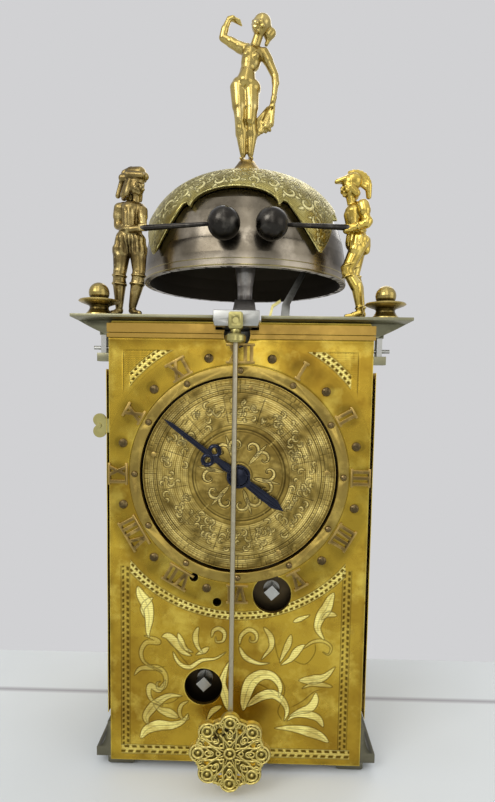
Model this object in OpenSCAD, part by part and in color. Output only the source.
// Tower table clock with an engraved gilt front, a single hand, a front pendulum,
// a bell under a pierced cap and two turning figures that strike it.
// The front faces -Y, +X is to the right and the clock stands on z = 0.

/* [Case] */
// Width of the front plate
case_w = 110; // [108:1:114]
// Depth over the front and back plates
case_d = 100; // [98:1:108]
// Height of the front plate
plate_h = 192; // [190:1:196]
// Thickness of the front and back plates
plate_t = 2; // [1.5:0.1:2.4]
// Height of the feet
foot_h = 4; // [3:0.5:6]
// Width of one foot
foot_w = 12; // [10:1:14]
// Height of the base moulding
base_h = 16; // [14:1:18]
// Reach of the base moulding beyond the front plate's edges
base_reach = 7; // [6:0.5:9]
// Thickness of the base's floor
floor_t = 2.5; // [2:0.5:3]
// Side of a square corner post
post_w = 6.3; // [5.5:0.1:7]
// Thickness of the side doors
door_t = 1.6; // [1.2:0.1:2]

/* [Cornice] */
// Reach of the cornice beyond the front plate's edges
cornice_side = 15; // [13:0.5:16]
// Reach of the cornice ahead of the front plate
cornice_front = 4; // [3:0.5:5]
// Reach of the cornice behind the back plate
cornice_back = 14.5; // [12:0.5:16]
// Thickness of the top slab
slab_t = 2.1; // [1.9:0.1:2.5]
// Height of the hollow moulding under the slab
cove_h = 5.8; // [5.6:0.1:6.4]
// Radius of a corner knob's disc
knob_r = 8.5; // [7:0.5:9]
// Height of a corner knob
knob_h = 14; // [13:0.5:15]

/* [Dial] */
// Distance from the top of the front plate down to the dial's centre
dial_drop = 64; // [63:0.5:66]
// Radius of the engraved calendar disc
disc_r = 41; // [40:0.5:41.5]
// Thickness of the calendar disc
disc_t = 1; // [0.8:0.1:1.2]
// Inner radius of the raised chapter ring
chapter_in = 42; // [41.8:0.1:42.4]
// Outer radius of the raised chapter ring
chapter_out = 46.3; // [45.8:0.1:46.6]
// Height of the chapter ring above the plate
chapter_t = 0.8; // [0.6:0.1:1]
// Radius of a touch pin at an hour
hour_pin_r = 1.3; // [1:0.1:1.5]
// Radius at which the numerals begin
numeral_in = 47.2; // [46.9:0.1:47.6]
// Radial length of a numeral
numeral_l = 7.2; // [6.8:0.1:7.3]
// Height of a numeral above the plate
numeral_t = 0.7; // [0.5:0.1:0.9]
// Radius of a half-hour stud
stud_r = 2; // [1.6:0.1:2.2]
// Length of the hand from its centre to its tip
hand_l = 39.4; // [37:0.1:40.5]
// Length of the hand's tail
tail_l = 24; // [20:0.5:28]
// Thickness of the hand
hand_t = 1.2; // [1:0.1:1.4]
// Clockwise angle of the hand from twelve
hand_angle = 307; // [0:1:360]

/* [Winding] */
// Across flats of a winding square
square_w = 4.8; // [4.4:0.1:4.9]
// Radius of a winding arbor
winding_r = 3.5; // [3.5:0.1:3.8]
// Radius of a winding hole in the front plate
winding_hole_r = 8.3; // [8:0.1:8.6]
// Distance of the striking arbor left of the centre line
strike_x = 14.2; // [13.6:0.1:15]
// Height of the striking arbor
strike_z = 38.6; // [38.4:0.1:40]

/* [Pendulum] */
// Distance of the verge's axis left of the centre line
verge_left = 1.5; // [1:0.1:2]
// Height of the verge's axis below the top of the front plate
verge_drop = 1; // [0.8:0.1:1.2]
// Radius of the verge arbor
verge_r = 1.2; // [1:0.1:1.3]
// Distance of the pendulum rod's axis ahead of the front plate
rod_reach = 14; // [13.5:0.5:16]
// Radius of the pendulum rod
rod_r = 1; // [0.8:0.1:1.2]
// Distance from the verge down to the bob's centre
bob_drop = 175; // [170:1:176]
// Radius over the bob's lobes
bob_r = 16.8; // [15:0.2:18]
// Thickness of the bob's disc
bob_t = 3.1; // [2.5:0.1:3.5]
// Width of the cock that carries the verge
cock_w = 18.4; // [17:0.2:19]

/* [Bell] */
// Radius of the bell's mouth
bell_r = 49.3; // [48:0.1:50]
// Height of the bell
bell_h = 49; // [47:0.5:51]
// Gap between the cornice and the bell's mouth
bell_gap = 20.6; // [19.6:0.2:21.6]
// Wall of the bell
bell_wall = 2.6; // [2:0.1:3]
// Thickness of the pierced cap
cap_t = 2; // [1.6:0.1:2.4]
// Height of the cap's tongue tips above the bell's mouth
tongue_rise = 8; // [7:0.5:10]
// Height of the finial's figure
finial_h = 69.5; // [66:0.5:72]

/* [Striking figures] */
// Distance of each figure's turning axis in from the case's side
jack_in = 5; // [4.5:0.1:5.5]
// Distance of the figures' axes behind the front plate's face
jack_back = 13.5; // [13:0.1:14]
// Radius of a hammer ball
ball_r = 6.6; // [6:0.1:6.9]
// Gap between a resting hammer ball and the bell
ball_gap = 1; // [0.8:0.1:2]

/* [Movement] */
// Thickness of the three movement plates
mplate_t = 2; // [1.6:0.1:2.4]
// Width of the movement plates
mplate_w = 88; // [84:1:90]
// Distance from the front plate's face to the first movement plate
dial_bay = 12; // [11.8:0.1:12.4]
// Distance from the last movement plate to the back plate's face
count_bay = 14; // [13.5:0.5:16]
// Radius of a train arbor
arbor_r = 1.7; // [1.5:0.1:2]
// Radius of a train pivot
pivot_r = 1.1; // [0.9:0.1:1.3]
// Radial clearance of a turning fit
run = 0.05; // [0.03:0.01:0.08]
// Thickness of a train wheel
wheel_t = 1.5; // [1.2:0.1:1.8]
// Gear module of the dial work
dial_mod = 1.11; // [1.1:0.01:1.12]
// Gear module of the great wheels
great_mod = 0.85; // [0.84:0.01:0.86]

/* [Hidden] */

// A cut runs this far past the faces that it opens
eps = 0.5;
// Gap between bodies that pass each other
gap = 0.4;
// Gap between the rod and the back of the bob's disc
bob_gap = 0.4;
// Overhang of a rivet or pin past the piece that it holds
overhang = 0.1;
stay_pin_r = 0.8;
stud_pin_r = 1.5;
pipe_r = 3;
pillar_r = 2.5;
stand_r = 2.8;
spindle_r = 1.5;
click_pin_r = 1.2;
$fn = 48;

// Heights
plate_z0 = foot_h;
plate_z1 = foot_h + plate_h;
base_top = foot_h + base_h;
floor_z = foot_h + floor_t;
cove_z = plate_z1 - 5.5;
slab_z0 = cove_z + cove_h;
slab_z1 = slab_z0 + slab_t;
lug_z1 = cove_z - 7.5;
lug_t = 3.5;
door_z1 = lug_z1 - lug_t - 2 * gap;

// Depths: the bob in front and the cornice behind reach equally far from the origin
bob_front = rod_reach + rod_r + bob_gap + bob_t;
front_y = -(case_d + bob_front + cornice_back) / 2 + bob_front;
back_y = front_y + case_d;
case_y = (front_y + back_y) / 2;
mp1 = front_y + dial_bay;
bay = (case_d - dial_bay - count_bay - 3 * mplate_t) / 2;
mp2 = mp1 + mplate_t + bay;
mp3 = mp2 + mplate_t + bay;
going_y0 = mp1 + mplate_t;
striking_y0 = mp2 + mplate_t;

// Places along Y in the trains
hand_y = front_y - 1.5;
dial_wheel_y = mp1 - 4.2;
square_y = front_y + 1.5;
square_l = 6.5;
drum_l = 10;
ratchet_gap = 1.2;
second_y = going_y0 + 4;
going_ratchet_y = mp2 - ratchet_gap - wheel_t;
going_drum_y = going_ratchet_y - gap - drum_l;
striking_ratchet_y = striking_y0 + ratchet_gap;
strike_drum_y0 = striking_ratchet_y + wheel_t + gap;
strike_great_y = strike_drum_y0 + drum_l + 3;
pin_y = strike_great_y + 5;
hoop_y = pin_y + 4;

// Widths
half_w = case_w / 2;
door_out = half_w - 0.2;
door_in = door_out - door_t;
post_out = door_in - 0.5;
post_in = post_out - post_w;
stay_x0 = half_w + 2;
stay_w = 2.2;
lug_x = half_w + 6;
slab_edge = 1.2;
hinge_x = door_out + 0.8;
hinge_y = back_y - plate_t - 3;
hinge_pin_r = 0.8;
knuckle_r = 1.6;

// Axes in the plane of the plates, as [x, z]
dial_c = [0, plate_z1 - dial_drop];
verge_x = -verge_left;
verge_z = plate_z1 - verge_drop;
mesh_slack = 0.15;
report_n = 24;
dial_n = 72;
great_n = 72;
second_n = 65;
contrate_n = 60;
leaf_n = 8;
crown_n = 31;
second_mod = 0.7;
contrate_mod = 0.7;
dial_dist = (report_n + dial_n) / 2 * dial_mod + mesh_slack;
going_dir = 16.3;
going_c = dial_c + dial_dist * [sin(going_dir), -cos(going_dir)];
strike_c = [-strike_x, strike_z];
crown_pinion_z = plate_z1 - 38;
contrate_r = contrate_n / 2 * contrate_mod;
contrate_c = [verge_x, crown_pinion_z - contrate_r];
great_dist = (great_n + leaf_n) / 2 * great_mod + mesh_slack;
second_dist = (second_n + leaf_n) / 2 * second_mod + mesh_slack;
second_c = circles_meet(going_c, great_dist, contrate_c, second_dist);
crown_r = 10.5;
crown_rim = 0.8;
crown_y = going_y0 + crown_r + crown_rim + 2 * gap;
crown_tip_z = verge_z - 5.1;

pin_n = 60;
hoop_n = 54;
count_pinion_n = 24;
count_n = 26;
pin_mod = 0.75;
hoop_mod = 0.7;
count_mod = 1;
pin_c = strike_c + great_dist * [cos(60), sin(60)];
hoop_c = pin_c + ((pin_n + leaf_n) / 2 * pin_mod + mesh_slack) * [cos(120), sin(120)];
fly_c = hoop_c + ((hoop_n + leaf_n) / 2 * hoop_mod + mesh_slack) * [cos(45), sin(45)];
count_c = strike_c + ((count_pinion_n + count_n) / 2 * count_mod + mesh_slack) * [0, 1];

// Barrels, ratchets and clicks
winding_pipe_r = winding_r + 1.6;
drum_r = 18;
ratchet_r = 12;
ratchet_n = 24;
click_side = 3.4;
click_up = 8.6;

// Pendulum and figures
rod_y = front_y - rod_reach;
bob_z = verge_z - bob_drop;
cock_y0 = rod_y + 2.5;
jack_x = half_w - jack_in;
jack_y = front_y + jack_back;
jack_z = slab_z1 + 0.3;
jack_plate_t = 1;
figure_z = jack_z + jack_plate_t;
hammer_z = slab_z1 + 36;
left_ball_x = -7.2;
right_ball_x = 12;
left_hand = [6.5, -4.8, 36.2];
right_hand = [5, -5, 37.2];
bell_z = slab_z1 + bell_gap;
cap_gap = 0.3;
cap_top = bell_z + bell_h + cap_gap + cap_t;
bell_p = 2.5;
finial_z = cap_top + 8.7;
// Arches of the cap: height of their crowns and of their cusps above the bell's mouth
arch_h = 34.2;
cusp_h = 26;
arch_w = 18.6;
cap_turn = -5;
jack_head = 1.2;
jack_room = 60;
jack_rise = 1.025;
potence_below = 9;
potence_above = 21;
hammer_pivot = [20, slab_z1 + 4.5];
hammer_head_h = 22;

// Functions

// Point where two circles cross, on the left of the line from a to b
function circles_meet(a, ra, b, rb) =
    let (v = b - a, d = norm(v), u = v / d, along = (ra * ra - rb * rb + d * d) / (2 * d),
        off = sqrt(max(0, ra * ra - along * along)))
    a + along * u + off * [-u[1], u[0]];

// Turn of a wheel b so that its gap meets a tooth of wheel a
function mesh_turn(turn_a, n_a, dir, n_b) =
    dir + 180 + 360 / n_b * (0.5 - (turn_a - dir) * n_a / 360);

// Outline closed by its own mirror image: points run from the foot of the axis to its top
function mirrored(half) = concat(half,
    [for (i = [len(half) - 1 : -1 : 0]) if (half[i][0] > 0) [-half[i][0], half[i][1]]]);

function direction(a, b) = atan2(b[1] - a[1], b[0] - a[0]);

// Teeth with straight flanks; pinions have narrower roots than wheels
function tooth_points(n, m) =
    let (root = m * (n / 2 - 1.25), tip = m * (n / 2 + 0.8), step = 360 / n,
        wr = n > 12 ? 0.26 : 0.19, wt = n > 12 ? 0.1 : 0.09)
    [for (i = [0 : n - 1], e = [[root, -wr], [tip, -wt], [tip, wt], [root, wr]])
        e[0] * [cos((i + e[1]) * step), sin((i + e[1]) * step)]];

// Radius of the bell's outer surface, grown by g, at a height above its mouth
function bell_at(h, g = 0) = (bell_r + g) * pow(1 - pow(min(1, h / (bell_h + g)), bell_p), 1 / bell_p);

// Heights of the points on a bell-shaped curve, closer together near the crown
function bell_curve(g, h0, n) =
    [for (i = [0 : n]) let (h = h0 + (bell_h + g - h0) * sin(90 * i / n)) [bell_at(h, g), h]];

// Hollow quarter curve from a to b, leaving a level and reaching b upright
function cove(a, b, n = 6) =
    [for (i = [0 : n]) [a[0] + (b[0] - a[0]) * sin(90 * i / n),
        a[1] + (b[1] - a[1]) * (1 - cos(90 * i / n))]];

// Building modules

// Extrudes a shape drawn in the plane of the plates from y0 to y1
module slab_y(y0, y1) {
    translate([0, y1, 0]) rotate([90, 0, 0]) linear_extrude(y1 - y0) children();
}

// Moves a shape to an axis given as [x, z]
module at_axis(c) {
    translate([c[0], 0, c[1]]) children();
}

// Cylinder along Y from y0 to y1
module rod_along_y(r, y0, y1) {
    translate([0, y0, 0]) rotate([-90, 0, 0]) cylinder(r = r, h = y1 - y0);
}

module both_sides() {
    children();
    mirror([1, 0, 0]) children();
}

// Copies for the front and the back corner on each side, at depths ya and yb
module four_corners(ya, yb) {
    both_sides() {
        translate([0, ya, 0]) children();
        translate([0, yb, 0]) children();
    }
}

// A toothed wheel with four crossings
module toothed(n, m, bore = 0, hub = 4.5, rim = 3, arm = 3) {
    root = m * (n / 2 - 1.25);
    difference() {
        polygon(tooth_points(n, m));
        if (root - rim > hub + 4) difference() {
            circle(r = root - rim);
            circle(r = hub);
            square([2 * root, arm], center = true);
            square([arm, 2 * root], center = true);
        }
        if (bore > 0) circle(r = bore);
    }
}

// Arbor with a shoulder before each plate and a pivot in it
module arbor(y0, y1, extra = 0) {
    rod_along_y(arbor_r, y0 + gap, y1 - gap);
    rod_along_y(pivot_r, y0 - mplate_t - 0.1, y1 + mplate_t + 0.1 + extra);
}

// A limb or body part between two balls
module limb(a, ra, b, rb) {
    hull() {
        translate(a) sphere(r = ra, $fn = 10);
        translate(b) sphere(r = rb, $fn = 10);
    }
}

// Base and case

module base_feet() {
    color("dimgray") four_corners(front_y + plate_t + foot_w / 2, back_y - foot_w / 2)
        translate([half_w - foot_w / 2 + 2, 0, 0]) intersection() {
            rotate([90, 0, 0]) linear_extrude(foot_w, center = true) foot_side();
            rotate([90, 0, 90]) linear_extrude(foot_w, center = true) foot_side();
        }
}

module foot_side() {
    polygon([[-foot_w / 2 + 0.8, 0], [foot_w / 2 - 0.8, 0], [foot_w / 2, 1.2],
        [foot_w / 2, foot_h], [-foot_w / 2, foot_h], [-foot_w / 2, 1.2]]);
}

// Half outline of the base: a square plinth, a fillet and a hollow
function base_side(inner) = concat(
    [[0, plate_z0], [inner + base_reach, plate_z0], [inner + base_reach, plate_z0 + 4]],
    cove([inner + base_reach - 0.8, plate_z0 + 4.4], [inner + 2, base_top]),
    [[0, base_top]]);

module base_moulding() {
    color("darkslategray") difference() {
        intersection() {
            slab_y(front_y + plate_t, back_y + base_reach) polygon(mirrored(base_side(half_w)));
            rotate([90, 0, 90]) linear_extrude(4 * half_w, center = true) union() {
                translate([case_y, 0]) polygon(base_side(back_y - case_y));
                translate([front_y + plate_t, plate_z0]) square([case_d / 2, base_h]);
            }
        }
        translate([-post_out - gap, front_y + plate_t, floor_z])
            cube([2 * (post_out + gap), case_d - 2 * plate_t, base_h]);
        both_sides() translate([hinge_x, hinge_y, base_top - 3]) cylinder(r = hinge_pin_r + 0.02, h = 4);
    }
}

module corner_posts() {
    color("dimgray") four_corners(front_y + plate_t, back_y - plate_t - post_w)
        translate([post_in, 0, floor_z]) cube([post_w, post_w, cove_z - 1 - floor_z]);
    color("dimgray") difference() {
        four_corners(front_y + plate_t + 1.5, back_y - plate_t - 6)
            translate([post_out, 0, lug_z1 - lug_t])
                cube([lug_x - post_out, 5, lug_t]);
        both_sides() translate([hinge_x, hinge_y, lug_z1 - lug_t - eps])
            cylinder(r = hinge_pin_r + 0.02, h = 2.5);
    }
}

module front_plate() {
    color("gold") slab_y(front_y, front_y + plate_t) difference() {
        polygon([[-half_w, plate_z0], [half_w, plate_z0], [half_w, plate_z1 - 2.6],
            [half_w - 1.6, plate_z1], [-half_w + 1.6, plate_z1], [-half_w, plate_z1 - 2.6]]);
        translate(dial_c) circle(r = chapter_in, $fn = 96);
        translate(going_c) circle(r = winding_hole_r);
        translate(strike_c) circle(r = winding_hole_r);
        translate(dial_c + [-18.7, -44.4]) circle(r = 1.9);
        translate(dial_c + [-8.6, -55.2]) circle(r = 1.9);
        notch();
    }
    color("gold") slab_y(front_y - 0.6, front_y + eps) difference() {
        for (z = [[6.7, 5], [4.6, 0.9]])
            polygon([[-half_w - 0.7, plate_z1 - z[0]], [half_w + 0.7, plate_z1 - z[0]],
                [half_w + 0.7, plate_z1 - z[1]], [-half_w - 0.7, plate_z1 - z[1]]]);
        notch();
    }
}

// Opening at the top centre for the cock and the pendulum's collar
module notch() {
    translate([verge_x - cock_w / 2 + 0.2, plate_z1 - 3.2]) square([cock_w - 0.4, 3.2 + eps]);
    translate([verge_x, plate_z1 - 5]) circle(r = 5.5);
}

module back_plate() {
    color("goldenrod") slab_y(back_y - plate_t, back_y)
        translate([-post_out - 0.2, base_top]) square([2 * post_out + 0.4, cove_z - base_top]);
}

// Half outline of the cornice, flaring from the case wall out to its thin edge
function cornice_side_line(inner, outer) = concat(
    [[0, cove_z], [inner, cove_z]],
    [for (t = [0.1 : 0.15 : 0.85]) [inner + (outer - inner) * t,
        cove_z + 0.4 + (slab_z1 - slab_edge - cove_z - 0.4) * pow(t, 1.2)]],
    [[outer, slab_z1 - slab_edge], [outer, slab_z1], [0, slab_z1]]);

module cornice() {
    x_in = half_w + 2;
    x_out = half_w + cornice_side;
    y_out = back_y + cornice_back;
    y_front = front_y - cornice_front;
    stay_y = [front_y + plate_t + 1.5, back_y - plate_t - 6];
    color("darkslategray") difference() {
        union() {
            intersection() {
                slab_y(y_front, y_out) polygon(mirrored(cornice_side_line(x_in, x_out)));
                rotate([90, 0, 90]) linear_extrude(4 * half_w, center = true) union() {
                    translate([case_y, 0])
                        polygon(cornice_side_line(back_y + 2 - case_y, y_out - case_y));
                    polygon([[front_y + plate_t, cove_z], [case_y, cove_z], [case_y, slab_z1],
                        [y_front, slab_z1], [y_front, slab_z1 - slab_edge], [front_y, slab_z0],
                        [front_y + plate_t, slab_z0]]);
                }
            }
            for (y = stay_y) both_sides()
                translate([stay_x0 - 0.5, y, cove_z]) cube([stay_w + 1, 5, cove_h]);
            both_sides() translate([door_in, front_y + plate_t + post_w + 1, door_z1 + gap])
                cube([door_t, case_d - 2 * plate_t - 2 * post_w - 2, cove_z - door_z1]);
        }
        translate([-door_in, front_y + 2 * plate_t, cove_z - eps])
            cube([2 * door_in, case_d - 3 * plate_t, cove_h + eps]);
        translate([verge_x - cock_w / 2 - 0.6, front_y - cornice_front - eps, cove_z - eps])
            cube([cock_w + 1.2, mp1 + gap - front_y + cornice_front + eps, cove_h + slab_t + 2 * eps]);
        translate([verge_x - 5 - gap, mp2 - gap, slab_z0 - eps])
            cube([10 + 2 * gap, mplate_t + 2 * gap, verge_z + 2.5 - slab_z0 + eps]);
        both_sides() translate([jack_x, jack_y, slab_z0 - eps])
            cylinder(r = spindle_r + run, h = slab_t + 2 * eps);
    }
}

module cornice_stays() {
    color("gray") difference() {
        four_corners(front_y + plate_t + 1.5, back_y - plate_t - 6)
            translate([stay_x0, 0, lug_z1]) cube([stay_w, 5, cove_z - lug_z1]);
        stay_pin_holes(stay_pin_r + 0.02);
    }
}

module stay_pin_holes(r, over = 0) {
    for (y = [front_y + plate_t + 4, back_y - plate_t - 3.5])
        both_sides() translate([stay_x0 - 1 - over, y, lug_z1 + 2.2]) rotate([0, 90, 0])
            cylinder(r = r, h = stay_w + 3.6 + 2 * over);
}

module stay_pins() {
    color("silver") stay_pin_holes(stay_pin_r, 1);
}

module corner_knobs() {
    k = knob_h / 13;
    color("darkgoldenrod")
        four_corners(front_y + 5, back_y + cornice_back - knob_r - 0.5)
            translate([half_w + cornice_side - knob_r - 1.2, 0, slab_z1]) rotate_extrude()
                polygon(concat([[0, 0], [5.8, 0], [5.6, 0.8 * k], [4.8, 1.6 * k], [4.1, 2.6 * k],
                    [3.9, 3.4 * k], [4.3, 4 * k], [knob_r - 0.8, 5.2 * k], [knob_r, 5.7 * k],
                    [knob_r - 0.4, 6.2 * k]],
                    [for (a = [-30 : 15 : 90]) [4.3 * cos(a), knob_h - 4.3 + 4.3 * sin(a)]]));
}

// Dial

module chapter_ring() {
    color("goldenrod") difference() {
        at_axis(dial_c) slab_y(front_y - chapter_t, front_y) difference() {
            circle(r = chapter_out, $fn = 96);
            circle(r = chapter_in, $fn = 96);
        }
        hour_pin_set(hour_pin_r, chapter_t + 1);
    }
}

module hour_pin_set(r, h) {
    for (i = [0 : 11]) at_axis(dial_c + (chapter_in + chapter_out) / 2 * [sin(30 * i), cos(30 * i)])
        rod_along_y(r, front_y - h, front_y);
}

module hour_pins() {
    color("gold") for (i = [0 : 11])
        at_axis(dial_c + (chapter_in + chapter_out) / 2 * [sin(30 * i), cos(30 * i)])
            translate([0, front_y, 0]) rotate([90, 0, 0]) rotate_extrude()
                polygon(concat([[0, 0], [hour_pin_r, 0]],
                    [for (a = [0 : 30 : 90]) [hour_pin_r * cos(a), chapter_t + 0.9 * sin(a)]]));
}

// One stroke of a numeral, drawn along the radius: x across, y outwards
module stroke(x, lean = 0) {
    polygon([[x - 0.55 - lean, 0], [x + 0.55 - lean, 0], [x + 0.55 + lean, numeral_l],
        [x - 0.55 + lean, numeral_l]]);
}

module numeral(marks) {
    w = numeral_width(marks);
    for (y = [0, numeral_l - 0.9]) translate([-w / 2 - 0.5, y]) square([w + 1, 0.9]);
    numeral_marks(marks, -w / 2);
}

// Marks are i for a stroke, v for a V and x for an X; each has its own width
function mark_w(m) = m == "i" ? 1.1 : 4.2;
function numeral_width(marks, i = 0) =
    i >= len(marks) ? 0 : mark_w(marks[i]) + (i > 0 ? 0.9 : 0) + numeral_width(marks, i + 1);

module numeral_marks(marks, x, i = 0) {
    if (i < len(marks)) {
        w = mark_w(marks[i]);
        c = x + w / 2;
        if (marks[i] == "i") stroke(c);
        if (marks[i] == "v") {
            stroke(c - 0.8, -0.8);
            stroke(c + 0.8, 0.8);
        }
        if (marks[i] == "x") {
            stroke(c, 1.5);
            stroke(c, -1.5);
        }
        numeral_marks(marks, x + w + 0.9, i + 1);
    }
}

HOURS = ["xii", "i", "ii", "iii", "iiii", "v", "vi", "vii", "viii", "ix", "x", "xi"];

module hour_numerals() {
    color("gold") slab_y(front_y - numeral_t, front_y) difference() {
        for (i = [0 : 11]) translate(dial_c) rotate(-30 * i) translate([0, numeral_in]) numeral(HOURS[i]);
        translate(going_c) circle(r = winding_hole_r + 0.3);
    }
}

// A stud between every two hours, but none where the winding hole is
module half_hour_studs() {
    color("gold") for (i = [0 : 11]) {
        c = dial_c + (numeral_in + numeral_l / 2) * [sin(30 * i + 15), cos(30 * i + 15)];
        if (norm(c - going_c) > winding_hole_r + stud_r)
            at_axis(c) translate([0, front_y, 0]) rotate([90, 0, 0]) rotate_extrude()
                polygon([[0, 0], for (a = [0 : 15 : 90]) [stud_r * cos(a), 1.4 * sin(a)]]);
    }
}

module dial_stud() {
    color("silver") at_axis(dial_c) {
        rod_along_y(stud_pin_r, hand_y - hand_t - 0.8, mp1);
        rod_along_y(3, mp1 - 1, mp1);
    }
}

module dial_wheel() {
    turn = mesh_turn(0, report_n, direction(going_c, dial_c), dial_n);
    color("goldenrod") at_axis(dial_c) difference() {
        union() {
            slab_y(dial_wheel_y, dial_wheel_y + wheel_t)
                rotate(turn) toothed(dial_n, dial_mod, hub = 7, arm = 5);
            rod_along_y(pipe_r, hand_y - hand_t, dial_wheel_y + 1);
            rod_along_y(5, dial_wheel_y, mp1 - 1 - gap);
        }
        rod_along_y(stud_pin_r + run, hand_y - hand_t - eps, mp1);
    }
}

module calendar_disc() {
    color("darkgoldenrod") at_axis(dial_c) difference() {
        union() {
            rod_along_y(disc_r, front_y + 1, front_y + 1 + disc_t, $fn = 96);
            rod_along_y(7, front_y + 1 + disc_t, front_y + 5);
        }
        rod_along_y(pipe_r + run, front_y, front_y + 6);
    }
}

module hour_hand() {
    color("midnightblue") at_axis(dial_c) rotate([0, hand_angle, 0])
        slab_y(hand_y - hand_t, hand_y) difference() {
            union() {
                circle(r = 5);
                polygon([[-1.5, 0], [1.5, 0], [1.4, 9], [0.9, hand_l - 4], [0, hand_l],
                    [-0.9, hand_l - 4], [-1.4, 9]]);
                for (s = [-1, 1]) translate([2.4 * s, 14.5]) circle(r = 2.9);
                polygon([[1.5, 0], [-1.5, 0], [-2.1, -tail_l + 5], [0, -tail_l], [2.1, -tail_l + 5]]);
            }
            for (s = [-1, 1]) translate([2.4 * s, 14.5]) circle(r = 1.3);
            circle(r = pipe_r + 0.02);
        }
}

module hand_collet() {
    color("goldenrod") at_axis(dial_c) difference() {
        rod_along_y(3.4, hand_y - hand_t - 1.6, hand_y - hand_t);
        rod_along_y(stud_pin_r + run, hand_y - hand_t - 0.9, hand_y);
    }
}

// Movement frame

module mplate(y0, top) {
    slab_y(y0, y0 + mplate_t) difference() {
        union() {
            translate([-mplate_w / 2, floor_z]) square([mplate_w, plate_z1 - 10 - floor_z]);
            if (top > 0) translate([verge_x - 5, plate_z1 - 11]) square([10, top]);
        }
        pillar_axes() circle(r = pillar_r + 0.02);
        children();
    }
}

module pillar_axes() {
    for (s = [-1, 1], z = [floor_z + 5, plate_z1 - 16])
        translate([s * (mplate_w / 2 - 5), z]) children();
}

module going_plate() {
    color("burlywood") mplate(mp1, 0) {
        translate(going_c) circle(r = winding_pipe_r + run);
        translate(strike_c) circle(r = winding_r + run);
        translate(second_c) circle(r = pivot_r + run);
        translate(contrate_c) circle(r = pivot_r + run);
    }
}

module centre_plate() {
    color("burlywood") {
        mplate(mp2, 12.2) {
            translate(going_c) circle(r = winding_r + run);
            translate(strike_c) circle(r = winding_r + run);
            for (c = [second_c, contrate_c, pin_c, hoop_c, fly_c]) translate(c) circle(r = pivot_r + run);
            translate([verge_x, verge_z]) circle(r = verge_r + run);
        }
        at_axis(click_c(going_c)) rod_along_y(click_pin_r, going_ratchet_y - overhang, mp2);
        at_axis(click_c(strike_c))
            rod_along_y(click_pin_r, striking_y0, striking_ratchet_y + wheel_t + overhang);
    }
}

module striking_plate() {
    color("burlywood") {
        mplate(mp3, 0) {
            translate(strike_c) circle(r = winding_pipe_r + run);
            for (c = [pin_c, hoop_c, fly_c]) translate(c) circle(r = pivot_r + run);
        }
        at_axis(count_c) rod_along_y(stud_pin_r, mp3 + mplate_t, mp3 + mplate_t + 8);
    }
}

module movement_pillars() {
    color("silver") slab_y(mp1 - 0.8, mp3 + mplate_t + 0.8) pillar_axes() circle(r = pillar_r);
}

// Bracket behind the first plate that carries the upright crown wheel arbor
module potence() {
    z0 = crown_pinion_z - potence_below;
    z1 = crown_pinion_z + potence_above;
    color("goldenrod") difference() {
        translate([verge_x - 4, 0, 0]) union() {
            translate([0, going_y0, z0]) cube([8, 2.5, z1 - z0]);
            for (z = [z0, z1 - 3]) translate([0, going_y0, z]) cube([8, crown_y - going_y0 + 3, 3]);
        }
        translate([verge_x, crown_y, z0 + 1]) cylinder(r = pivot_r + run, h = z1);
    }
}

module verge_cock() {
    x0 = verge_x - 6;
    color("lightgray") difference() {
        union() {
            slab_y(cock_y0, cock_y0 + 5.5) polygon([[verge_x - cock_w / 2 + 0.6, verge_z - 1.7],
                [verge_x + cock_w / 2 - 0.6, verge_z - 1.7], [verge_x + cock_w / 2, verge_z + 0.5],
                [verge_x + cock_w / 2, verge_z + 4.5], [verge_x - cock_w / 2, verge_z + 4.5],
                [verge_x - cock_w / 2, verge_z + 0.5]]);
            translate([x0, cock_y0 + 5, verge_z - 1.7]) cube([12, mp1 - cock_y0 - 5, 4]);
            translate([x0, mp1 - 3, plate_z1 - 21]) cube([12, 3, 20]);
        }
        at_axis([verge_x, verge_z]) rod_along_y(verge_r + run, cock_y0 - eps, mp1 + eps);
    }
}

// Bell and finial

module bell_stand() {
    foot_top = slab_z1 + 14;
    color("lightgray") translate([0, case_y, 0]) {
        intersection() {
            rotate([90, 0, 0]) linear_extrude(20, center = true) stand_foot(foot_top);
            rotate([90, 0, 90]) linear_extrude(20, center = true) stand_foot(foot_top);
        }
        rotate_extrude() polygon([[0, foot_top - 1], [3.6, foot_top - 1], [3.6, foot_top + 2],
            [3.9, foot_top + 7], [4.8, foot_top + 13], [5.1, foot_top + 17], [stand_r, foot_top + 21],
            [stand_r, bell_z + bell_h - bell_wall - 4], [5, bell_z + bell_h - bell_wall - 3.6],
            [5, bell_z + bell_h - bell_wall - 0.8], [stand_r, bell_z + bell_h - bell_wall - 0.8],
            [stand_r, cap_top + 3], [0, cap_top + 3]]);
    }
}

module stand_foot(top) {
    polygon([[-7.3, slab_z1], [7.3, slab_z1], [4.75, top], [-4.75, top]]);
}

module bell() {
    inner = bell_h - bell_wall - 0.4;
    k = (bell_r - bell_wall) / bell_r;
    color("slategray") translate([0, case_y, bell_z]) rotate_extrude($fn = 96) difference() {
        polygon(concat([[0, 0]], bell_curve(0, 0, 12)));
        polygon(concat([[0, -eps], [k * bell_at(0), -eps]],
            [for (p = bell_curve(0, 0, 12)) [k * p[0], p[1] / bell_h * inner]]));
        translate([0, inner - 2]) square([stand_r + 0.05, bell_h]);
    }
}

// Half outline of one arch cut from the cap, as seen square on, from its cusp to its crown
function arch_half() =
    [for (a = [90 : -15 : 0]) [arch_w * sin(a), cusp_h + (arch_h - cusp_h) * cos(a)]];

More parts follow.
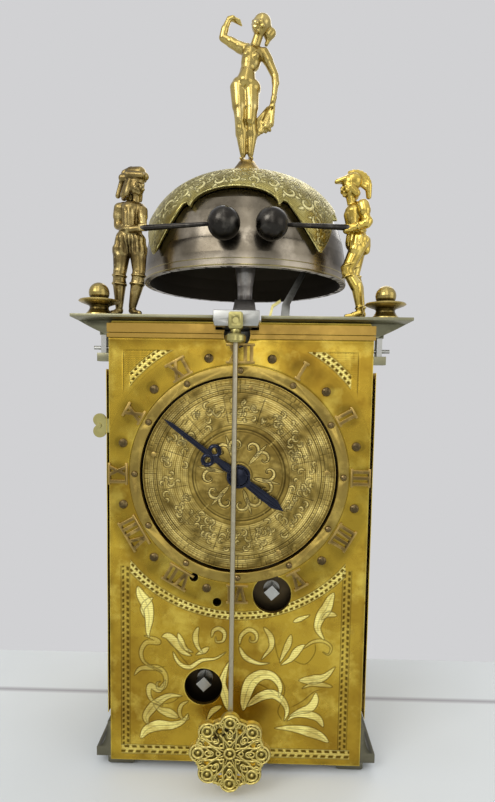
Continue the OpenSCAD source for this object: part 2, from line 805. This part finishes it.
module arch_cut() {
    tip = bell_at(tongue_rise, cap_gap + cap_t) / sqrt(2);
    polygon(mirrored(concat([[0, -eps], [tip + 8, -eps], [tip, tongue_rise],
        [arch_w + 3.7, cusp_h + 1.6], [arch_w + 1.9, cusp_h + 2.2],
        [arch_w + 0.8, cusp_h + 0.4]], arch_half())));
}

module bell_cap() {
    color("darkkhaki") translate([0, case_y, bell_z]) rotate([0, 0, cap_turn]) difference() {
        rotate_extrude($fn = 96) difference() {
            polygon(concat([[0, tongue_rise]], bell_curve(cap_gap + cap_t, tongue_rise, 12)));
            polygon(concat([[0, 0]], bell_curve(cap_gap, 0, 12)));
            square([stand_r + 0.05, 2 * bell_h]);
        }
        rotate([90, 0, 0]) linear_extrude(3 * bell_r, center = true) arch_cut();
        rotate([90, 0, 90]) linear_extrude(3 * bell_r, center = true) arch_cut();
    }
}

module finial_base() {
    color("gold") translate([0, case_y, 0]) rotate_extrude() polygon([[stand_r + 0.05, cap_top],
        [7.6, cap_top], [7.7, cap_top + 2.6], [7.5, cap_top + 3.6], [6.8, cap_top + 4.8],
        [6, cap_top + 5.9], [4.9, cap_top + 7.3], [4, finial_z], [0, finial_z], [0, cap_top + 3.2],
        [stand_r + 0.05, cap_top + 3.2]]);
}

// Standing draped figure, its weight on one leg, one arm raised to the head.
// Places are for a figure 68.5 mm tall.
module finial_figure() {
    k = finial_h / 68.5;
    color("gold") translate([0, case_y, finial_z]) scale(k) intersection() {
        union() {
            // head and hair
            limb([5.0, -0.6, 61.2], 3.1, [6.2, 0.4, 63.6], 3.3);
            limb([8.0, 0.8, 59.6], 1.9, [9.0, 1.2, 61], 1.9);
            limb([2.6, 0, 54], 1.7, [4.6, -0.2, 60], 1.7);
            // trunk
            limb([0.2, 0, 53.2], 3.2, [5.6, 0, 51.8], 3);
            limb([1.2, -0.6, 50], 4.4, [-0.2, -0.2, 43.5], 3.9);
            limb([-0.2, 0, 42.5], 3.9, [-1.8, 0, 37.5], 5.2);
            limb([-4.2, 0, 37], 3.8, [1.8, 0, 35], 4.2);
            // legs
            limb([-4.4, -0.2, 35], 4.3, [-3.6, -0.6, 20.5], 2.9);
            limb([1.4, 0, 33.5], 4.1, [1.6, -0.8, 19.8], 2.8);
            limb([-3.6, -0.4, 20.5], 2.8, [-2.4, 1, 11], 2.3);
            limb([-2.4, 1, 11], 2.3, [-1.8, 0.8, 2.6], 1.4);
            limb([1.6, -0.6, 19.8], 2.7, [2, 0.8, 11], 2.3);
            limb([2, 0.8, 11], 2.3, [1.6, 0.6, 2.6], 1.4);
            limb([-1.8, 0.8, 1.2], 1.3, [-2.6, -3, 0.7], 1.1);
            limb([1.6, 0.6, 1.2], 1.3, [2.4, -3, 0.7], 1.1);
            // raised arm
            limb([-3, 0, 54], 2.2, [-12, -0.6, 58.2], 1.8);
            limb([-12.2, -0.6, 58.4], 1.7, [-9.4, -1.4, 66.4], 1.4);
            limb([-9.4, -1.4, 66.6], 1.3, [-3.6, -1.8, 65.2], 1.2);
            // lowered arm
            limb([8, 0, 51.4], 2.2, [13, 0.4, 41], 1.8);
            limb([13, 0.4, 41], 1.6, [12.4, -0.8, 31], 1.4);
            limb([12.4, -0.8, 30.4], 1.6, [11.8, -0.6, 27.6], 1.4);
            // drape behind the thigh
            limb([12.2, 0.6, 28], 1.6, [8.4, 2.6, 20], 3.4);
            limb([8.4, 2.6, 20], 3.2, [11.6, 2.2, 17.4], 2);
            limb([6.4, 2.4, 20], 2.4, [5.2, 1.6, 14.6], 1.8);
        }
        translate([-40, -40, 0]) cube([80, 80, 100]);
    }
}

// Striking figures: x points towards the bell, y away from the viewer

// Legs spread, one arm bent to the hammer, the other on the hip
module jack_left_shape() {
    // head, hair and hat
    translate([4, -0.6, 49.5]) scale(jack_head) translate([-4, 0.6, -49.5]) {
        limb([4, -0.8, 52], 3, [4, -0.6, 54.4], 3.2);
        limb([0.6, 0.6, 51.5], 2.4, [-0.2, 1, 48.6], 2);
        limb([-1.6, 0, 56.2], 2.2, [6.4, -0.8, 57], 2.2);
        limb([-2, 1.4, 55.6], 2.6, [2.4, 0.6, 58.6], 2.2);
    }
    limb([3.6, 0, 47], 2.1, [3.8, -0.4, 50.5], 2);
    // trunk and shoulders
    limb([-2.6, 1, 44.6], 3.2, [6, -0.6, 43.6], 3);
    limb([1.4, -0.4, 43], 5, [1, 0, 37], 4.4);
    limb([-1.4, 0, 31.6], 4.6, [3.8, 0, 31], 4.6);
    // arms
    limb([-3.8, 0.6, 44], 2.6, [-4, 1.4, 38], 2.5);
    limb([-4, 1, 37.6], 2.2, [1, -3.4, 34.8], 1.9);
    limb([6.4, -1.6, 42.6], 2.6, [6.8, -3.6, 37.4], 2.3);
    limb([6.8, -3.8, 37], 2.1, [8, -4.6, 35.6], 2);
    limb([1.4, -3.6, 34.8], 1.9, [7.4, -5, 35.4], 1.8);
    // legs
    limb([-2.6, 0.4, 29], 4.4, [-3.6, 0.2, 18.4], 3);
    limb([4, 0, 28.4], 4.4, [5, -0.6, 18.4], 3);
    limb([-3.8, 0.4, 18], 3, [-4.2, 1, 11], 3);
    limb([-4.2, 1, 11], 2.9, [-4.2, 1, 3], 1.7);
    limb([5, -0.4, 18], 3, [3.6, 0.2, 11], 3);
    limb([3.6, 0.2, 11], 2.9, [1.6, 0.4, 3], 1.7);
    limb([-4.2, 1.4, 1.4], 1.8, [-6.6, -1.4, 1], 1.3);
    limb([1.6, 0.8, 1.4], 1.8, [5, -1.4, 1], 1.3);
}

// Stepping towards the bell in armour, with a crested helmet
module jack_right_shape() {
    translate([4.4, -0.2, 49.5]) scale(jack_head) translate([-4.4, 0.2, -49.5]) {
        limb([5.4, -0.4, 51.8], 3, [5, -0.2, 54.2], 3.3);
        limb([5, -0.2, 55.4], 2.8, [9.4, -0.4, 55.2], 1.3);
        limb([1.6, 0, 57.6], 1.5, [-1.6, 0.4, 54.6], 1.8);
        limb([4.6, 0, 57.8], 1.2, [1.6, 0, 57.4], 1.6);
        limb([-1.6, 0.4, 54.4], 1.8, [-2, 0.6, 51], 1.5);
    }
    limb([3.8, 0, 46.6], 2.1, [4.6, -0.2, 50.5], 2);
    limb([1.6, 0.4, 45], 3.6, [1.4, 0.2, 42.4], 4.6);
    limb([2.4, -0.2, 43.6], 4.6, [1.8, 0, 37], 4.2);
    limb([1.2, 0, 32.6], 4.6, [1.6, 0, 30.6], 4.8);
    // arms
    limb([-0.6, -4, 44.6], 2.8, [-2, -5, 39], 2.4);
    limb([-2, -5, 38.6], 2.2, [5, -5.2, 36], 1.9);
    limb([1.6, 4.4, 44], 2.6, [2, 4.6, 38.6], 2.3);
    limb([2.4, 4.4, 38.4], 2, [6.4, -2.6, 35.8], 1.8);
    // legs
    limb([0.4, -1.8, 29.6], 4.4, [5, -2, 20], 3);
    limb([0, 2, 29.4], 4.4, [1.4, 2.4, 19.6], 3);
    limb([5, -2, 20], 2.9, [0.2, -1.8, 12.6], 2.9);
    limb([0.2, -1.8, 12.6], 2.8, [-0.8, -1.6, 3], 1.7);
    limb([1.4, 2.4, 19.4], 3, [-0.6, 2.6, 12], 2.9);
    limb([-0.6, 2.6, 12], 2.8, [-2.6, 2.6, 3], 1.7);
    limb([-1, -1.6, 1.4], 1.8, [5, -2, 1], 1.3);
    limb([-3, 2.6, 1.4], 1.8, [1, 2.8, 1], 1.3);
}

module jack_cut() {
    intersection() {
        children();
        translate([-jack_room / 2, -jack_room / 2, 0]) cube([jack_room, jack_room, 2 * jack_room]);
    }
}

module left_jack() {
    color("peru") translate([-jack_x, jack_y, figure_z]) jack_cut() scale([1, 1, jack_rise]) jack_left_shape();
}

module right_jack() {
    color("gold") translate([jack_x, jack_y, figure_z]) mirror([1, 0, 0])
        jack_cut() scale([1, 1, jack_rise]) jack_right_shape();
}

module spindle() {
    translate([0, 0, jack_z - 0.3 - slab_t - 8.5]) cylinder(r = spindle_r, h = slab_t + 9);
    translate([0, 0, jack_z]) cylinder(r = 6.4, h = jack_plate_t);
    difference() {
        translate([-2, -1.5, slab_z0 - 5.5]) cube([4, 15, 2]);
        translate([0, 11.5, slab_z0 - 6]) cylinder(r = 0.8, h = 3);
    }
}

module left_spindle() {
    color("gray") translate([-jack_x, jack_y, 0]) spindle();
}

module right_spindle() {
    color("gray") translate([jack_x, jack_y, 0]) mirror([1, 0, 0]) spindle();
}

// Hammer from the hand to a ball that rests just clear of the bell.
// ball_x is the ball's place across, hand is the rod's start beside the axis.
module hammer(side, ball_x, hand) {
    reach = bell_at(hammer_z - bell_z) + ball_r + ball_gap;
    ball = [ball_x, case_y - sqrt(reach * reach - ball_x * ball_x), hammer_z];
    start = [side * jack_x - side * hand[0], jack_y + hand[1], figure_z + hand[2]];
    v = ball - start;
    translate(ball) sphere(r = ball_r);
    translate(start) rotate([0, acos(v[2] / norm(v)), atan2(v[1], v[0])])
        cylinder(r1 = 1.3, r2 = 0.7, h = norm(v));
}

module left_hammer() {
    color("#2a2a2c") hammer(-1, left_ball_x, left_hand);
}

module right_hammer() {
    color("#2a2a2c") hammer(1, right_ball_x, right_hand);
}

// Hammer inside the bell

module hammer_bracket() {
    color("goldenrod") {
        for (s = [-1, 1]) translate([hammer_pivot[0] - 3, case_y + s * 3.2 - 1, slab_z1]) cube([6, 2, 6.5]);
        translate([hammer_pivot[0] - 3, case_y - 4.2, slab_z1]) cube([6, 8.4, 1.5]);
        at_axis(hammer_pivot) rod_along_y(1, case_y - 4.6, case_y + 4.6);
    }
}

module bell_hammer() {
    k = (bell_r - bell_wall) / bell_r;
    head_x = k * bell_at(hammer_head_h) - 5 - 2.6;
    head_z = bell_z + hammer_head_h;
    color("darkkhaki") difference() {
        union() {
            slab_y(case_y - 1.5, case_y + 1.5) polygon([hammer_pivot + [-2.2, -1.5], hammer_pivot + [2.2, -1.5],
                hammer_pivot + [2.6, 8], [head_x + 1, head_z], [head_x - 1, head_z], hammer_pivot + [-1.4, 8]]);
            translate([head_x, case_y, head_z]) sphere(r = 5);
        }
        at_axis(hammer_pivot) rod_along_y(1 + run, case_y - 3, case_y + 3);
    }
}

module check_spring() {
    color("darkkhaki") slab_y(case_y - 1.5, case_y + 1.5) polygon([[9, slab_z1], [16, slab_z1], [16, slab_z1 + 1.2],
        [12.2, slab_z1 + 1.6], [14.4, slab_z1 + 11], [hammer_pivot[0] - 1.9, slab_z1 + 13.6],
        [hammer_pivot[0] - 2.3, slab_z1 + 14.8], [13.4, slab_z1 + 12], [11, slab_z1 + 1.6], [9, slab_z1 + 1.2]]);
}

// Pendulum and verge

module verge() {
    color("silver") {
        at_axis([verge_x, verge_z]) rod_along_y(verge_r, rod_y - 2, mp2 + mplate_t + 0.2);
        for (s = [-1, 1]) at_axis([verge_x, verge_z]) rotate([0, s * 45, 0])
            translate([-0.6, crown_y + s * crown_r - 1.5, -4.6]) cube([1.2, 3, 4.4]);
    }
}

module pendulum_nut() {
    color("olive") at_axis([verge_x, verge_z]) difference() {
        slab_y(rod_y - 2.2, cock_y0 - gap) polygon([[-2.1, -3.3], [2.1, -3.3], [2.8, -2.6], [2.8, 2.6],
            [2.1, 3.3], [-2.1, 3.3], [-2.8, 2.6], [-2.8, -2.6]]);
        rod_along_y(verge_r + 0.02, rod_y - 3, cock_y0);
    }
}

module pendulum_collar() {
    color("goldenrod") translate([verge_x, rod_y, verge_z - 8.5]) difference() {
        rotate_extrude() polygon([[0, 0], [3.4, 0], [4, 0.7], [4, 2.6], [3.4, 3.3],
            [2.2, 3.5], [1.9, 5.2], [0, 5.2]]);
        translate([0, 0, -eps]) cylinder(r = rod_r + 0.02, h = 3);
    }
}

module pendulum_rod() {
    color("gray") translate([verge_x, rod_y, bob_z - bob_r * 0.5])
        cylinder(r = rod_r, h = verge_z - 6 - bob_z + bob_r * 0.5);
}

// Pierced rosette with eight lobes on a round disc, and a socket for the rod behind
module pendulum_bob() {
    lobe = bob_r / 4;
    color("darkkhaki") difference() {
        union() {
            at_axis([verge_x, bob_z])
                slab_y(rod_y - rod_r - bob_gap - bob_t, rod_y - rod_r - bob_gap) difference() {
                union() {
                    circle(r = bob_r * 0.86);
                    for (i = [0 : 7]) rotate(45 * i) translate([bob_r - lobe, 0]) circle(r = lobe);
                }
                for (i = [0 : 7]) rotate(45 * i + 22.5) translate([bob_r * 0.62, 0]) circle(r = bob_r * 0.09);
            }
            translate([verge_x, rod_y, bob_z - bob_r * 0.75]) cylinder(r = rod_r + 1, h = bob_r * 1.5);
        }
        translate([verge_x, rod_y, bob_z - bob_r * 0.5]) cylinder(r = rod_r + 0.02, h = 2 * bob_r);
    }
}

// Going train

// Place of a click beside its ratchet wheel and above its own tip
function click_c(c) = c + [ratchet_r + click_side, click_up];

module ratchet_wheel() {
    step = 360 / ratchet_n;
    polygon([for (i = [0 : ratchet_n - 1], e = [[ratchet_r, 0], [ratchet_r - 1.6, 0.12]])
        e[0] * [cos((i + e[1]) * step), sin((i + e[1]) * step)]]);
}

module winding_square(y0, y1) {
    slab_y(y0, y1) rotate(43) square(square_w, center = true);
}

module going_winding_arbor() {
    color("silver") at_axis(going_c) {
        winding_square(square_y, square_y + square_l);
        rod_along_y(winding_r, square_y + square_l, mp2 + mplate_t + 0.5);
        slab_y(going_ratchet_y, going_ratchet_y + wheel_t) ratchet_wheel();
    }
}

module going_barrel() {
    drum_y1 = going_drum_y + drum_l;
    color("goldenrod") at_axis(going_c) difference() {
        union() {
            rod_along_y(drum_r, going_drum_y, drum_y1);
            slab_y(going_drum_y - wheel_t, going_drum_y) toothed(great_n, great_mod, hub = drum_r - 2);
            rod_along_y(winding_pipe_r, mp1 - 4.4, going_drum_y);
            slab_y(dial_wheel_y - 0.2, dial_wheel_y + wheel_t + 0.2) toothed(report_n, dial_mod, hub = 20);
        }
        rod_along_y(winding_r + run, mp1 - 6, drum_y1 + eps);
    }
}

// Click that drops between the ratchet's teeth, shown resting just clear of them
module click_shape() {
    difference() {
        union() {
            circle(r = 2.6);
            polygon([[-click_side + 0.3, -click_up], [0.2, 2 - click_up], [1.2, -2.2], [-2.4, -1]]);
        }
        circle(r = click_pin_r + run);
    }
}

module going_click() {
    color("gray") at_axis(click_c(going_c)) slab_y(going_ratchet_y, going_ratchet_y + wheel_t)
        click_shape();
}

module second_wheel() {
    great_y = going_drum_y - wheel_t;
    pinion_turn = mesh_turn(0, great_n, direction(going_c, second_c), leaf_n);
    color("goldenrod") at_axis(second_c) {
        arbor(going_y0, mp2);
        slab_y(great_y - 1, great_y + wheel_t + 1)
            rotate(pinion_turn) polygon(tooth_points(leaf_n, great_mod));
        slab_y(second_y, second_y + wheel_t) toothed(second_n, second_mod);
    }
}

module contrate_wheel() {
    pinion_turn = mesh_turn(0, second_n, direction(second_c, contrate_c), leaf_n);
    pitch_y = crown_y + leaf_n / 2 * contrate_mod;
    tip_y = pitch_y - 0.5;
    root_y = pitch_y + 1;
    color("goldenrod") at_axis(contrate_c) {
        arbor(going_y0, mp2);
        slab_y(second_y - 1, second_y + wheel_t + 1)
            rotate(pinion_turn) polygon(tooth_points(leaf_n, second_mod));
        difference() {
            slab_y(tip_y, root_y + wheel_t) difference() {
                circle(r = contrate_r + 1);
                circle(r = contrate_r - 1.2);
            }
            for (i = [0 : contrate_n - 1]) rotate([0, (i + 0.5) * 360 / contrate_n, 0])
                translate([0, 0, contrate_r - 2]) linear_extrude(4)
                    polygon([[-0.85, tip_y - eps], [0.85, tip_y - eps], [0.45, root_y], [-0.45, root_y]]);
        }
        slab_y(root_y, root_y + wheel_t) difference() {
            circle(r = contrate_r - 1);
            difference() {
                circle(r = contrate_r - 3);
                circle(r = 4.5);
                square([2 * contrate_r, 3], center = true);
                square([3, 2 * contrate_r], center = true);
            }
        }
    }
}

// Upright arbor with a pinion below and a wheel of upright slanting teeth above
module crown_wheel() {
    z0 = crown_pinion_z - 9;
    rim_z = crown_tip_z - 6;
    color("goldenrod") translate([verge_x, crown_y, 0]) {
        translate([0, 0, z0 + 1.2]) cylinder(r = pivot_r, h = rim_z - z0);
        translate([0, 0, z0 + 3 + gap]) cylinder(r = arbor_r, h = 27 - 3 - 2 * gap);
        translate([0, 0, crown_pinion_z - 3]) linear_extrude(6)
            rotate(90 + 180 / leaf_n) polygon(tooth_points(leaf_n, contrate_mod));
        translate([0, 0, rim_z]) linear_extrude(1.2) difference() {
            circle(r = crown_r + crown_rim);
            difference() {
                circle(r = crown_r - 2.2);
                circle(r = 3);
                square([2 * crown_r, 2], center = true);
                square([2, 2 * crown_r], center = true);
            }
        }
        difference() {
            translate([0, 0, rim_z]) linear_extrude(crown_tip_z - rim_z) difference() {
                circle(r = crown_r + crown_rim);
                circle(r = crown_r - crown_rim);
            }
            for (i = [0 : crown_n - 1]) rotate(i * 360 / crown_n) translate([crown_r - 2, 0, 0])
                rotate([90, 0, 90]) linear_extrude(4) polygon([[-0.8, crown_tip_z + eps], [1.2, crown_tip_z + eps],
                    [0.9, crown_tip_z - 3.6], [0.5, crown_tip_z - 3.6]]);
        }
    }
}

// Striking train

module striking_winding_arbor() {
    color("silver") at_axis(strike_c) {
        winding_square(square_y, square_y + square_l);
        rod_along_y(winding_r, square_y + square_l, mp3 + mplate_t + 4.8);
        slab_y(striking_ratchet_y, striking_ratchet_y + wheel_t) ratchet_wheel();
    }
}

module striking_click() {
    color("gray") at_axis(click_c(strike_c))
        slab_y(striking_ratchet_y, striking_ratchet_y + wheel_t) click_shape();
}

module striking_barrel() {
    color("goldenrod") at_axis(strike_c) difference() {
        union() {
            rod_along_y(drum_r, strike_drum_y0, strike_great_y);
            slab_y(strike_great_y, strike_great_y + wheel_t) toothed(great_n, great_mod, hub = drum_r - 2);
            rod_along_y(winding_pipe_r, strike_great_y, mp3 + mplate_t + 3.4);
            slab_y(mp3 + mplate_t + 0.6, mp3 + mplate_t + 3)
                polygon(tooth_points(count_pinion_n, count_mod));
        }
        rod_along_y(winding_r + run, strike_drum_y0 - eps, mp3 + mplate_t + 5);
    }
}

module pin_wheel() {
    pinion_turn = mesh_turn(0, great_n, direction(strike_c, pin_c), leaf_n);
    color("goldenrod") at_axis(pin_c) {
        arbor(striking_y0, mp3);
        slab_y(strike_great_y - 1, strike_great_y + wheel_t + 1) rotate(pinion_turn)
            polygon(tooth_points(leaf_n, great_mod));
        slab_y(pin_y, pin_y + wheel_t) toothed(pin_n, pin_mod);
        for (i = [0 : 7]) rotate([0, 45 * i, 0]) translate([0, 0, pin_n / 2 * pin_mod - 3])
            rod_along_y(0.9, pin_y - 3, pin_y + 0.5);
    }
}

module hoop_wheel() {
    pinion_turn = mesh_turn(0, pin_n, direction(pin_c, hoop_c), leaf_n);
    color("goldenrod") at_axis(hoop_c) {
        arbor(striking_y0, mp3);
        slab_y(pin_y - 1, pin_y + wheel_t + 1) rotate(pinion_turn) polygon(tooth_points(leaf_n, pin_mod));
        slab_y(hoop_y, hoop_y + wheel_t) toothed(hoop_n, hoop_mod);
        slab_y(hoop_y + wheel_t, hoop_y + wheel_t + 2) difference() {
            circle(r = hoop_n / 2 * hoop_mod - 2);
            circle(r = hoop_n / 2 * hoop_mod - 3);
            rotate(200) translate([10, -1.5]) square([10, 3]);
        }
    }
}

module fly() {
    pinion_turn = mesh_turn(0, hoop_n, direction(hoop_c, fly_c), leaf_n);
    color("goldenrod") at_axis(fly_c) {
        arbor(striking_y0, mp3);
        slab_y(hoop_y - 1, hoop_y + wheel_t + 1)
            rotate(pinion_turn) polygon(tooth_points(leaf_n, hoop_mod));
        rotate([0, 25, 0]) translate([-11, striking_y0 + 4, -0.4]) cube([22, 12, 0.8]);
        rod_along_y(3, striking_y0 + 3, striking_y0 + 17);
    }
}

// Blows struck before each hour's notch in the count wheel
function blows(h) = h * (h + 1) / 2;

module count_wheel() {
    turn = mesh_turn(0, count_pinion_n, 90, count_n);
    y0 = mp3 + mplate_t + 0.9;
    color("goldenrod") at_axis(count_c) difference() {
        union() {
            slab_y(y0, y0 + wheel_t) rotate(turn) polygon(tooth_points(count_n, count_mod));
            rod_along_y(4, y0, y0 + 5.4);
            slab_y(y0 + 3.6, y0 + 5.4) difference() {
                circle(r = 20, $fn = 96);
                for (h = [1 : 12]) rotate(blows(h) / 78 * 360) translate([17, -1]) square([4, 2]);
                difference() {
                    circle(r = 14.5);
                    circle(r = 7);
                    square([40, 3], center = true);
                    square([3, 40], center = true);
                }
            }
        }
        rod_along_y(stud_pin_r + run, y0 - eps, y0 + 6);
    }
}

// Doors

module door() {
    color("goldenrod") difference() {
        union() {
            translate([door_in, front_y + plate_t + gap, base_top + gap])
                cube([door_t, hinge_y + 0.8 - front_y - plate_t - gap, door_z1 - base_top - gap]);
            for (z = [base_top + gap, door_z1 - 6]) {
                translate([hinge_x, hinge_y, z]) cylinder(r = knuckle_r, h = 6);
            }
        }
        translate([hinge_x, hinge_y, base_top]) cylinder(r = hinge_pin_r + run, h = door_z1);
    }
}

module right_door() {
    door();
}

module left_door() {
    mirror([1, 0, 0]) door();
}

module hinge_pins() {
    color("silver") both_sides() translate([hinge_x, hinge_y, 0]) {
        translate([0, 0, base_top - 2.8]) cylinder(r = hinge_pin_r, h = 8.6);
        translate([0, 0, door_z1 - 5.8]) cylinder(r = hinge_pin_r, h = 7.4);
    }
}

// Lobed catch plate on the left door with a rivet through it
module door_pull() {
    y0 = front_y + plate_t + 2.5;
    z = plate_z1 - 44;
    color("goldenrod") slab_y(y0, y0 + 1.2) difference() {
        union() {
            translate([-stay_x0 - 3.4, z + 2.4]) circle(r = 2.8);
            translate([-stay_x0 - 3.4, z - 2.4]) circle(r = 2.8);
            translate([-stay_x0 - 3.4, z - 2]) square([4, 4]);
            translate([-stay_x0 - 1, z - 3]) square([stay_x0 + 1 - door_out, 6]);
        }
        translate([-stay_x0 - 3.6, z]) circle(r = 1.02);
    }
    color("goldenrod") translate([-door_out - 1, y0, z - 3]) cube([1, 6, 6]);
    color("dimgray") at_axis([-stay_x0 - 3.6, z]) rod_along_y(1, y0 - 0.8, y0 + 2);
}

base_feet();
base_moulding();
corner_posts();
front_plate();
back_plate();
cornice();
cornice_stays();
stay_pins();
corner_knobs();
chapter_ring();
hour_pins();
hour_numerals();
half_hour_studs();
going_plate();
centre_plate();
striking_plate();
movement_pillars();
potence();
verge_cock();
dial_stud();
bell_stand();
bell();
bell_cap();
finial_base();
finial_figure();
hinge_pins();
hammer_bracket();
check_spring();
verge();
pendulum_nut();
pendulum_collar();
pendulum_rod();
pendulum_bob();
left_jack();
left_hammer();
left_spindle();
right_jack();
right_hammer();
right_spindle();
calendar_disc();
dial_wheel();
hour_hand();
hand_collet();
going_barrel();
going_winding_arbor();
going_click();
second_wheel();
contrate_wheel();
crown_wheel();
striking_barrel();
striking_winding_arbor();
striking_click();
pin_wheel();
hoop_wheel();
fly();
count_wheel();
left_door();
right_door();
door_pull();
bell_hammer();
